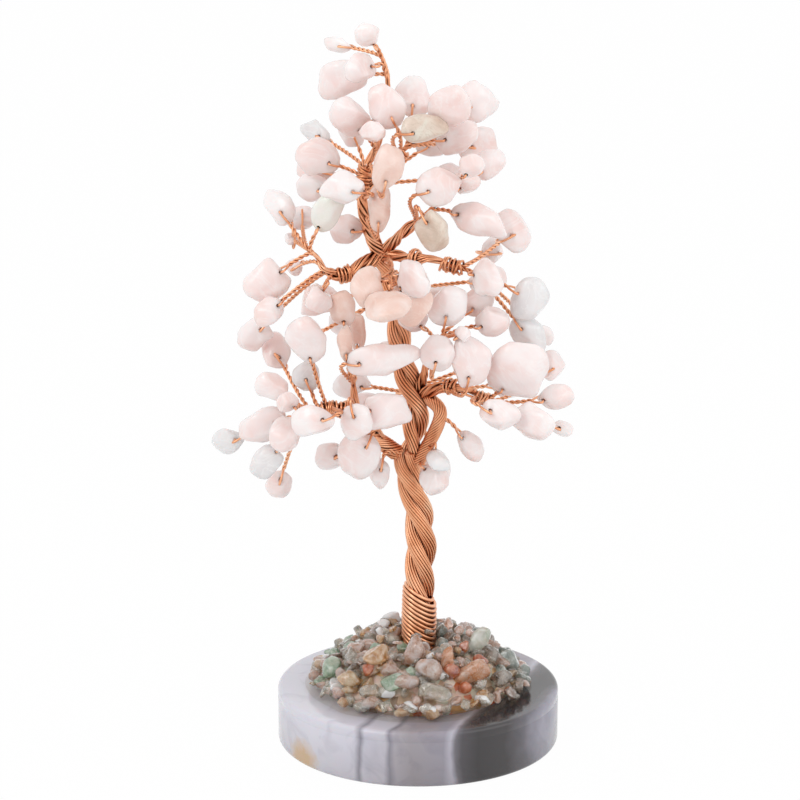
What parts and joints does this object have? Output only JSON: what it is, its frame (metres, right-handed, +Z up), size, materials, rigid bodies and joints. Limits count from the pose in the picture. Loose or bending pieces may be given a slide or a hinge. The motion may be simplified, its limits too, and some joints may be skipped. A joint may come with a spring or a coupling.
{
  "type": "gemstone tree ornament",
  "caption": "Small wire tree with drilled rose quartz chips for leaves, standing in a heap of mixed chips on an agate disc.",
  "frame": {"origin": "middle of the base disc's underside, on the surface that it stands on", "axes": "+Z up along the foot of the tree, +X to the right of the picture's view, +Y away from the viewer"},
  "size_m": [0.0889, 0.0767, 0.1799],
  "materials": {
    "agate": "polished",
    "clear_resin": "gloss",
    "rose_quartz": "gloss",
    "clear_quartz": "gloss",
    "green_aventurine": "gloss",
    "teal_agate": "gloss",
    "honey_calcite": "gloss",
    "carnelian": "gloss",
    "smoky_quartz": "gloss",
    "copper_wire": "satin"
  },
  "bodies": {
    "tree": {"base_disc": "agate", "branch_back_low": "copper_wire", "branch_back_mid": "copper_wire", "branch_back_top": "copper_wire", "branch_centre": "copper_wire", "branch_left_riser": "copper_wire", "branch_low_left": "copper_wire", "branch_low_right": "copper_wire", "branch_mid_left": "copper_wire", "branch_mid_right": "copper_wire", "branch_right_riser": "copper_wire", "branch_right_strand": "copper_wire", "branch_top_right": "copper_wire", "branch_top_strand": "copper_wire", "branch_upper_right": "copper_wire", "foot_strand_1": "copper_wire", "foot_strand_2": "copper_wire", "foot_strand_3": "copper_wire", "foot_wrap": "copper_wire", "heap_carnelian": "carnelian", "heap_clear": "clear_quartz", "heap_green": "green_aventurine", "heap_honey": "honey_calcite", "heap_rose": "rose_quartz", "heap_smoky": "smoky_quartz", "heap_teal": "teal_agate", "resin_mound": "clear_resin", "stones_back_low": "rose_quartz", "stones_back_mid": "rose_quartz", "stones_back_top": "rose_quartz", "stones_centre": "rose_quartz", "stones_left_riser": "rose_quartz", "stones_low_left": "rose_quartz", "stones_low_right": "rose_quartz", "stones_mid_left": "rose_quartz", "stones_mid_right": "rose_quartz", "stones_right_riser": "rose_quartz", "stones_right_strand": "rose_quartz", "stones_top_right": "rose_quartz", "stones_top_strand": "rose_quartz", "stones_upper_right": "rose_quartz", "upper_strand_1": "copper_wire", "upper_strand_2": "copper_wire"},
    "top_leader": {"branch_top_leader": "copper_wire", "stones_top_leader": "rose_quartz"},
    "right_twig": {"branch_right_twig": "copper_wire"},
    "clear_stone_left": {"clear_stone_left": "clear_quartz"},
    "clear_stone_low": {"clear_stone_low": "clear_quartz"},
    "drop_stone_left": {"drop_stone_left": "rose_quartz"},
    "hanging_stone_front": {"hanging_stone_front": "rose_quartz"},
    "end_stone_right": {"end_stone_right": "rose_quartz"},
    "tip_stone_right": {"tip_stone_right": "rose_quartz"},
    "white_stone_right": {"white_stone_right": "clear_quartz"},
    "hook_stone_right": {"hook_stone_right": "rose_quartz"},
    "green_stone_left": {"green_stone_left": "green_aventurine"},
    "crest_stone": {"crest_stone": "rose_quartz"},
    "twig_stone_right": {"twig_stone_right": "rose_quartz"}
  },
  "joints": [
    {"name": "top_leader_bend", "type": "hinge", "parent": "tree", "child": "top_leader", "pos_m": [-0.00975, 0, 0.14954], "axis": [0, -1, 0], "range_deg": [-12, 12]},
    {"name": "right_twig_bend", "type": "hinge", "parent": "tree", "child": "right_twig", "pos_m": [0.00568, -0.0039, 0.08397], "axis": [0, -1, 0], "range_deg": [-5, 20]},
    {"name": "clear_stone_left_swivel", "type": "hinge", "parent": "tree", "child": "clear_stone_left", "pos_m": [-0.04407, -0.00222, 0.07817], "axis": [-0.3976, -0.8913, -0.218], "range_deg": [-25, 25]},
    {"name": "clear_stone_low_swivel", "type": "hinge", "parent": "tree", "child": "clear_stone_low", "pos_m": [-0.03446, -0.01262, 0.07753], "axis": [0.1351, -0.9759, 0.1712], "range_deg": [-25, 25]},
    {"name": "drop_stone_left_swivel", "type": "hinge", "parent": "tree", "child": "drop_stone_left", "pos_m": [-0.03363, -0.00105, 0.06775], "axis": [-0.1184, -0.9026, -0.4138], "range_deg": [-25, 25]},
    {"name": "hanging_stone_front_swivel", "type": "hinge", "parent": "tree", "child": "hanging_stone_front", "pos_m": [0.00237, -0.00445, 0.07018], "axis": [-0.4599, -0.7476, 0.4792], "range_deg": [-25, 25]},
    {"name": "end_stone_right_swivel", "type": "hinge", "parent": "tree", "child": "end_stone_right", "pos_m": [0.03007, -0.0098, 0.08984], "axis": [-0.1128, -0.9934, -0.0206], "range_deg": [-25, 25]},
    {"name": "tip_stone_right_swivel", "type": "hinge", "parent": "tree", "child": "tip_stone_right", "pos_m": [0.03372, -0.00289, 0.08113], "axis": [0.3359, -0.9271, -0.1661], "range_deg": [-25, 25]},
    {"name": "white_stone_right_swivel", "type": "hinge", "parent": "tree", "child": "white_stone_right", "pos_m": [0.02364, -0.00781, 0.11571], "axis": [0.0028, -1, -0.0014], "range_deg": [-15, 25]},
    {"name": "hook_stone_right_swivel", "type": "hinge", "parent": "tree", "child": "hook_stone_right", "pos_m": [0.01455, -0.00142, 0.14362], "axis": [0.1964, -0.9713, 0.1343], "range_deg": [-25, 25]},
    {"name": "green_stone_left_swivel", "type": "hinge", "parent": "tree", "child": "green_stone_left", "pos_m": [-0.02366, -0.00672, 0.13167], "axis": [-0.1191, -0.9612, -0.2488], "range_deg": [-25, 25]},
    {"name": "crest_stone_swivel", "type": "hinge", "parent": "top_leader", "child": "crest_stone", "pos_m": [-0.01141, -0.00387, 0.17541], "axis": [0.385, -0.6933, -0.6092], "range_deg": [-25, 25]},
    {"name": "twig_stone_right_swivel", "type": "hinge", "parent": "right_twig", "child": "twig_stone_right", "pos_m": [0.01081, -0.00493, 0.07888], "axis": [-0.1256, -0.9802, 0.1528], "range_deg": [-25, 25]}
  ]
}
